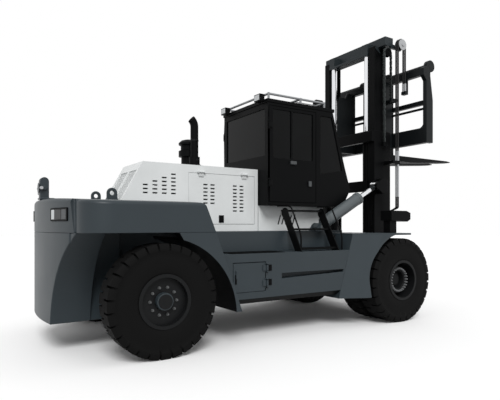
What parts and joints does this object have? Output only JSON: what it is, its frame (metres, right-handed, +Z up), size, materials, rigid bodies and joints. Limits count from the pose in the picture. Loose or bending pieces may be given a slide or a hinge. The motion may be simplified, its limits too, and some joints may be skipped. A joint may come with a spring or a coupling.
{
  "type": "diesel forklift",
  "caption": "Heavy diesel counterbalance forklift with an enclosed cab, a rear engine hood, twin drive tyres and a tilting chain-lift mast whose forks slide on a shaft.",
  "frame": {"origin": "on the ground under the middle of the truck's length and width", "axes": "+X forward towards the forks, +Y to the driver's left, +Z up"},
  "size_m": [8.335, 3.1, 5.015],
  "materials": {
    "body_paint": "satin slate grey",
    "hood_paint": "satin off-white",
    "black_paint": "satin black",
    "engine_paint": "dark grey",
    "axle_paint": "dark grey",
    "wheel_paint": "mid grey",
    "cylinder_paint": "mid grey",
    "mesh_metal": "dark expanded metal",
    "rail_metal": "dull zinc",
    "chain_steel": "oiled steel",
    "fork_steel": "black, worn",
    "chrome": "hard chrome",
    "glass": "tinted",
    "tyre": "black rubber",
    "hose_rubber": "black rubber",
    "black_plastic": "matt black",
    "seat_fabric": "dark cloth"
  },
  "bodies": {
    "chassis": {"frame": "body_paint", "deck": "body_paint", "side_tanks": "body_paint", "front_fenders": "body_paint", "rear_mudguards": "body_paint", "counterweight_slab": "body_paint", "counterweight_casting": "body_paint", "hood": "hood_paint", "hood_grille": "mesh_metal", "engine": "engine_paint", "exhaust_stack": "black_paint", "air_intake": "black_plastic", "cab_base": "hood_paint", "cab_shell": "black_paint", "cab_roof": "black_paint", "cab_glass": "glass", "seat": "seat_fabric", "console": "black_plastic", "roof_rail": "rail_metal", "ladders": "black_paint", "lamps": "black_plastic", "tow_coupling": "black_paint", "drive_axle": "axle_paint", "steer_axle": "axle_paint"},
    "battery_cover": {"battery_door": "body_paint"},
    "hood_flap_left": {"hood_door_left": "hood_paint"},
    "hood_flap_right": {"hood_door_right": "hood_paint"},
    "door_left": {"cab_door_left": "black_paint", "door_glass_left": "glass"},
    "door_right": {"cab_door_right": "black_paint", "door_glass_right": "glass"},
    "outer_mast": {"mast_outer": "black_paint", "lift_barrels": "black_paint", "chains_rear": "chain_steel", "hose_rear": "hose_rubber"},
    "inner_mast": {"mast_inner": "black_paint", "lift_rods": "chrome", "mast_sheaves": "rail_metal", "chains_front": "chain_steel", "hose_front": "hose_rubber"},
    "fork_carriage": {"carriage": "black_paint", "fork_shaft": "rail_metal"},
    "left_fork": {"fork_left": "fork_steel"},
    "right_fork": {"fork_right": "fork_steel"},
    "tilt_cylinders": {"tilt_barrels": "cylinder_paint"},
    "tilt_pistons": {"tilt_rods": "chrome"},
    "drive_left": {"drive_wheel_left": "wheel_paint", "drive_tyres_left": "tyre"},
    "drive_right": {"drive_wheel_right": "wheel_paint", "drive_tyres_right": "tyre"},
    "steer_left": {"knuckle_left": "axle_paint"},
    "steer_right": {"knuckle_right": "axle_paint"},
    "wheel_left": {"steer_wheel_left": "wheel_paint", "steer_tyre_left": "tyre"},
    "wheel_right": {"steer_wheel_right": "wheel_paint", "steer_tyre_right": "tyre"}
  },
  "joints": [
    {"name": "cab_door_left", "type": "hinge", "parent": "chassis", "child": "door_left", "pos_m": [-0.9625, 0.706, 2.7], "axis": [0, 0, 1], "range_deg": [0, 90]},
    {"name": "cab_door_right", "type": "hinge", "parent": "chassis", "child": "door_right", "pos_m": [-0.9625, -0.706, 2.7], "axis": [0, 0, -1], "range_deg": [0, 90]},
    {"name": "hood_door_left", "type": "hinge", "parent": "chassis", "child": "hood_flap_left", "pos_m": [-1.6275, 0.442, 2.372], "axis": [1, 0, 0], "range_deg": [0, 75]},
    {"name": "hood_door_right", "type": "hinge", "parent": "chassis", "child": "hood_flap_right", "pos_m": [-1.6275, -0.442, 2.372], "axis": [-1, 0, 0], "range_deg": [0, 75]},
    {"name": "battery_door", "type": "hinge", "parent": "chassis", "child": "battery_cover", "pos_m": [-1.4675, -1.372, 0.88], "axis": [0, 0, 1], "range_deg": [0, 90]},
    {"name": "mast_tilt", "type": "hinge", "parent": "chassis", "child": "outer_mast", "pos_m": [1.1175, 0, 0.685], "axis": [0, 1, 0], "range_deg": [-12, 6]},
    {"name": "mast_lift", "type": "slide", "parent": "outer_mast", "child": "inner_mast", "axis": [0, 0, 1], "range_m": [-1.4, 0.61], "deforming": ["chains_rear", "hose_rear"]},
    {"name": "carriage_lift", "type": "slide", "parent": "inner_mast", "child": "fork_carriage", "axis": [0, 0, 1], "range_m": [-1.4, 0.61], "deforming": ["chains_front", "hose_front"]},
    {"name": "tilt_cylinder_swing", "type": "hinge", "parent": "chassis", "child": "tilt_cylinders", "pos_m": [-0.0725, 0, 1.56], "axis": [0, 1, 0], "range_deg": [-8, 4.5]},
    {"name": "tilt_rod_stroke", "type": "slide", "parent": "tilt_cylinders", "child": "tilt_pistons", "axis": [0.8779, 0, 0.4788], "range_m": [-0.3, 0.15]},
    {"name": "fork_spread", "type": "slide", "parent": "fork_carriage", "child": "left_fork", "axis": [0, 1, 0], "range_m": [-0.08, 0.8]},
    {"name": "fork_right_slide", "type": "slide", "parent": "fork_carriage", "child": "right_fork", "axis": [0, 1, 0], "range_m": [-0.8, 0.08]},
    {"name": "drive_spin_left", "type": "hinge", "parent": "chassis", "child": "drive_left", "pos_m": [1.1175, 1.365, 0.685], "axis": [0, 1, 0], "continuous": true},
    {"name": "drive_spin_right", "type": "hinge", "parent": "chassis", "child": "drive_right", "pos_m": [1.1175, -1.365, 0.685], "axis": [0, 1, 0], "continuous": true},
    {"name": "steer_angle_right", "type": "hinge", "parent": "chassis", "child": "steer_right", "pos_m": [-3.0225, -1.17, 0.685], "axis": [0, 0, 1], "range_deg": [-60, 60]},
    {"name": "steer_angle_left", "type": "hinge", "parent": "chassis", "child": "steer_left", "pos_m": [-3.0225, 1.17, 0.685], "axis": [0, 0, 1], "range_deg": [-60, 60]},
    {"name": "wheel_spin_left", "type": "hinge", "parent": "steer_left", "child": "wheel_left", "pos_m": [-3.0225, 1.345, 0.685], "axis": [0, 1, 0], "continuous": true},
    {"name": "wheel_spin_right", "type": "hinge", "parent": "steer_right", "child": "wheel_right", "pos_m": [-3.0225, -1.345, 0.685], "axis": [0, 1, 0], "continuous": true}
  ],
  "couplings": [
    {"joint": "carriage_lift", "follows": "mast_lift", "ratio": 1},
    {"joint": "tilt_cylinder_swing", "follows": "mast_tilt", "ratio": 0.59},
    {"joint": "tilt_rod_stroke", "follows": "mast_tilt", "m_per_rad": 1.36},
    {"joint": "fork_right_slide", "follows": "fork_spread", "ratio": -1},
    {"joint": "steer_angle_left", "follows": "steer_angle_right", "ratio": 1}
  ]
}
